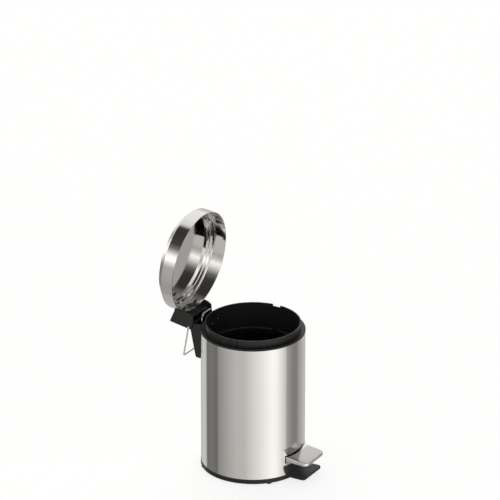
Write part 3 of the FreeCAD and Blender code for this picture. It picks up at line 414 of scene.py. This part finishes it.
def turned_mesh(name, profile, x, z):
    """The profile turned about a line along Y through x and z."""
    vertices, faces = [], []
    for radius, y in profile:
        for index in range(SCREW_TURNS):
            angle = math.tau * index / SCREW_TURNS
            vertices.append((x + radius * math.cos(angle), y, z + radius * math.sin(angle)))
    for ring in range(len(profile) - 1):
        near, far = ring * SCREW_TURNS, (ring + 1) * SCREW_TURNS
        for index in range(SCREW_TURNS):
            after = (index + 1) % SCREW_TURNS
            faces.append((near + index, far + index, far + after, near + after))
    mesh = bpy.data.meshes.new(name)
    mesh.from_pydata(vertices, [], faces)
    return mesh


def screw_head(name, x, z, seat, shank_end, angle):
    """One domed screw with a cross recess, its modifiers applied."""
    head = bpy.data.objects.new(name, turned_mesh(name, head_profile(seat, shank_end), x, z))
    scene.collection.objects.link(head)
    weld = head.modifiers.new("weld", "WELD")
    weld.merge_threshold = 0.01 * MM
    cutter = cut_cross(head, Vector((x, seat - HEAD_HEIGHT, z)), angle)
    graph = bpy.context.evaluated_depsgraph_get()
    mesh = bpy.data.meshes.new_from_object(head.evaluated_get(graph))
    head.modifiers.clear()
    bpy.data.objects.remove(cutter)
    head.data = mesh
    mesh.shade_smooth()
    mesh.set_sharp_from_angle(angle=math.radians(35))
    mesh.materials.clear()
    mesh.materials.append(finishes[slot_of["ring_screws"]])
    stands_for(head, "bin", "ring_screws")


def ring_screw_heads():
    """The three screws inside the ring: one low in the middle, two higher at the sides."""
    low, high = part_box("ring_screws")
    middle_seat = 77.65 * MM
    side_x = high.x - HEAD_RADIUS
    side_z = high.z - HEAD_RADIUS
    side_seat = low.y + HEAD_HEIGHT
    places = [(0.0, low.z + HEAD_RADIUS, middle_seat), (-side_x, side_z, side_seat),
              (side_x, side_z, side_seat)]
    for number, (x, z, seat) in enumerate(places, start=1):
        screw_head(f"ring_screw_{number}", x, z, seat, high.y, angle=number * 0.7)


carrying_handle()
lifter()
ring_screw_heads()

# ---------------------------------------------------------------- studio

CAMERA_AZIMUTH = -59.86
CAMERA_ELEVATION = 23.34
CAMERA_DISTANCE = 7.909
CAMERA_LENS = 353.7
AIM = Vector((-0.00246, 0.00423, 0.3790))

# The surroundings are grey levels by direction. A heading is in degrees round the studio from the
# photographer, who stands at 0, towards their right; a height is in degrees above eye level.
STRENGTH = 1.8
# What stands round the studio below eye level, by heading.
ROOM_BANDS = [(-180, 0.52), (-161, 0.54), (-143, 0.70), (-127, 0.62), (-123, 0.19), (-105, 0.22),
              (-87, 0.18), (-83, 0.32), (-60, 0.47), (-37, 0.60), (-19, 0.62), (0, 0.83),
              (16, 0.97), (30, 1.13), (44, 1.26), (53, 1.22), (58, 1.12), (77, 0.72), (81, 0.42),
              (100, 0.27), (112, 0.26), (122, 0.41), (147, 0.59), (180, 0.52)]
# What hangs in front of the object, by height: a long low softbox under a black ceiling.
FRONT_SKY = [(-10, 0.42), (-3, 0.46), (8, 0.95), (16, 1.65), (24, 1.15), (31, 0.6), (38, 0.2),
             (47, 0.06), (66, 0.04), (90, 0.08)]
# What hangs behind it, by height: one large softbox up to the ceiling.
BACK_SKY = [(-10, 0.5), (0, 0.6), (10, 0.78), (20, 1.05), (55, 1.0), (68, 0.85), (90, 0.3)]
# How much of the sky is the one behind, by heading.
BACK_SHARE = [(-180, 1.0), (-147.6, 1.0), (-122.4, 0.0), (122.4, 0.0), (147.6, 1.0)]
# How much a dark panel hides the sky, by heading and by height.
PANEL_SHARE = [(-180, 0.0), (76, 0.0), (84, 1.0), (138, 1.0), (156, 0.0), (180, 0.0)]
PANEL_TOP = [(44, 1.0), (60, 0.0)]
PANEL_LEVEL = 0.3
# Where the bands give way to what lies steeply below, and to the sky, by height.
DEEP_EDGE = [(-58, 1.0), (-40, 0.0)]
DEEP_LEVEL = 0.5
SKY_EDGE = [(-8, 0.0), (4, 1.0)]
WARM_TINT = (1.02, 1.0, 0.975)


def make_camera():
    """The camera, on the left of the pedal side and above, with a long lens."""
    turn = math.radians(CAMERA_AZIMUTH)
    rise = math.radians(CAMERA_ELEVATION)
    back = Vector((math.sin(turn) * math.cos(rise), -math.cos(turn) * math.cos(rise),
                   math.sin(rise)))
    data = bpy.data.cameras.new("camera")
    data.lens = CAMERA_LENS
    data.sensor_width = 36.0
    data.clip_start = 0.1
    data.clip_end = 100.0
    camera = bpy.data.objects.new("camera", data)
    camera.location = AIM + back * CAMERA_DISTANCE
    camera.rotation_mode = "QUATERNION"
    camera.rotation_quaternion = (-back).to_track_quat("-Z", "Y")
    scene.collection.objects.link(camera)
    scene.camera = camera


def studio_directions(tree):
    """The heading and the height of a direction in the studio, each scaled to 0 to 1."""
    place = tree.nodes.new("ShaderNodeTexCoord")
    split = tree.nodes.new("ShaderNodeSeparateXYZ")
    tree.links.new(place.outputs["Generated"], split.inputs[0])
    photographer = math.atan2(-math.cos(math.radians(CAMERA_AZIMUTH)),
                              math.sin(math.radians(CAMERA_AZIMUTH)))
    around = calculate(tree, "ARCTAN2", split.outputs["Y"], split.outputs["X"])
    turned = calculate(tree, "SUBTRACT", around, photographer)
    share = calculate(tree, "ADD", calculate(tree, "DIVIDE", turned, math.tau), 0.5)
    heading = calculate(tree, "FRACT", share)
    rise = calculate(tree, "ARCSINE", split.outputs["Z"])
    height = rescale(tree, rise, -math.pi / 2, math.pi / 2, 0, 1)
    return heading, height


def by_heading(stops, strength=1.0):
    """Ramp stops from stops in degrees of heading."""
    return [((angle + 180) / 360, level / strength) for angle, level in stops]


def by_height(stops, strength=1.0):
    """Ramp stops from stops in degrees of height."""
    return [((angle + 90) / 180, level / strength) for angle, level in stops]


def studio_light(tree):
    """The colour that the studio shows in each direction."""
    heading, height = studio_directions(tree)
    ring = ramp(tree, heading, by_heading(ROOM_BANDS, STRENGTH))
    front = ramp(tree, height, by_height(FRONT_SKY, STRENGTH))
    behind = ramp(tree, height, by_height(BACK_SKY, STRENGTH))
    sky = mix_colours(tree, ramp(tree, heading, by_heading(BACK_SHARE)), front, behind)
    panel = calculate(tree, "MULTIPLY", ramp(tree, heading, by_heading(PANEL_SHARE)),
                      ramp(tree, height, by_height(PANEL_TOP)))
    sky = mix_colours(tree, panel, sky, (PANEL_LEVEL / STRENGTH,) * 3)
    below = ramp(tree, height, by_height(DEEP_EDGE))
    low_side = mix_colours(tree, below, ring, (DEEP_LEVEL / STRENGTH,) * 3)
    room = mix_colours(tree, ramp(tree, height, by_height(SKY_EDGE)), low_side, sky)
    tint = tree.nodes.new("ShaderNodeMix")
    tint.data_type = "RGBA"
    tint.blend_type = "MULTIPLY"
    tint.inputs["Factor"].default_value = 1.0
    tint.inputs[7].default_value = (*WARM_TINT, 1.0)
    tree.links.new(room, tint.inputs[6])
    return tint.outputs[2]


def make_world():
    """Lights and mirrors the studio in the object, against a plain white background."""
    world = bpy.data.worlds.new("studio")
    scene.world = world
    world.use_nodes = True
    tree = world.node_tree
    lit = tree.nodes["Background"]
    lit.inputs["Strength"].default_value = STRENGTH
    tree.links.new(studio_light(tree), lit.inputs["Color"])
    plain = tree.nodes.new("ShaderNodeBackground")
    plain.inputs["Color"].default_value = (1, 1, 1, 1)
    paths = tree.nodes.new("ShaderNodeLightPath")
    choice = tree.nodes.new("ShaderNodeMixShader")
    tree.links.new(paths.outputs["Is Camera Ray"], choice.inputs["Fac"])
    tree.links.new(lit.outputs[0], choice.inputs[1])
    tree.links.new(plain.outputs[0], choice.inputs[2])
    tree.links.new(choice.outputs[0], tree.nodes["World Output"].inputs["Surface"])


def make_floor():
    """A pale floor that shows only a faint contact shadow."""
    size = 12.0
    mesh = bpy.data.meshes.new("floor")
    corners = [(-size, -size, 0), (size, -size, 0), (size, size, 0), (-size, size, 0)]
    mesh.from_pydata(corners, [], [(0, 1, 2, 3)])
    floor = bpy.data.objects.new("floor", mesh)
    scene.collection.objects.link(floor)
    floor.location.z = -0.2 * MM
    floor.visible_glossy = False
    material = bpy.data.materials.new("pale_floor")
    material.use_nodes = True
    tree = material.node_tree
    tree.nodes.remove(tree.nodes["Principled BSDF"])
    matt = tree.nodes.new("ShaderNodeBsdfDiffuse")
    matt.inputs["Color"].default_value = (0.45, 0.45, 0.45, 1)
    glow = tree.nodes.new("ShaderNodeEmission")
    glow.inputs["Strength"].default_value = 0.78
    both = tree.nodes.new("ShaderNodeAddShader")
    tree.links.new(matt.outputs[0], both.inputs[0])
    tree.links.new(glow.outputs[0], both.inputs[1])
    tree.links.new(both.outputs[0], tree.nodes["Material Output"].inputs["Surface"])
    mesh.materials.append(material)


make_camera()
make_world()
make_floor()

bpy.context.view_layer.update()
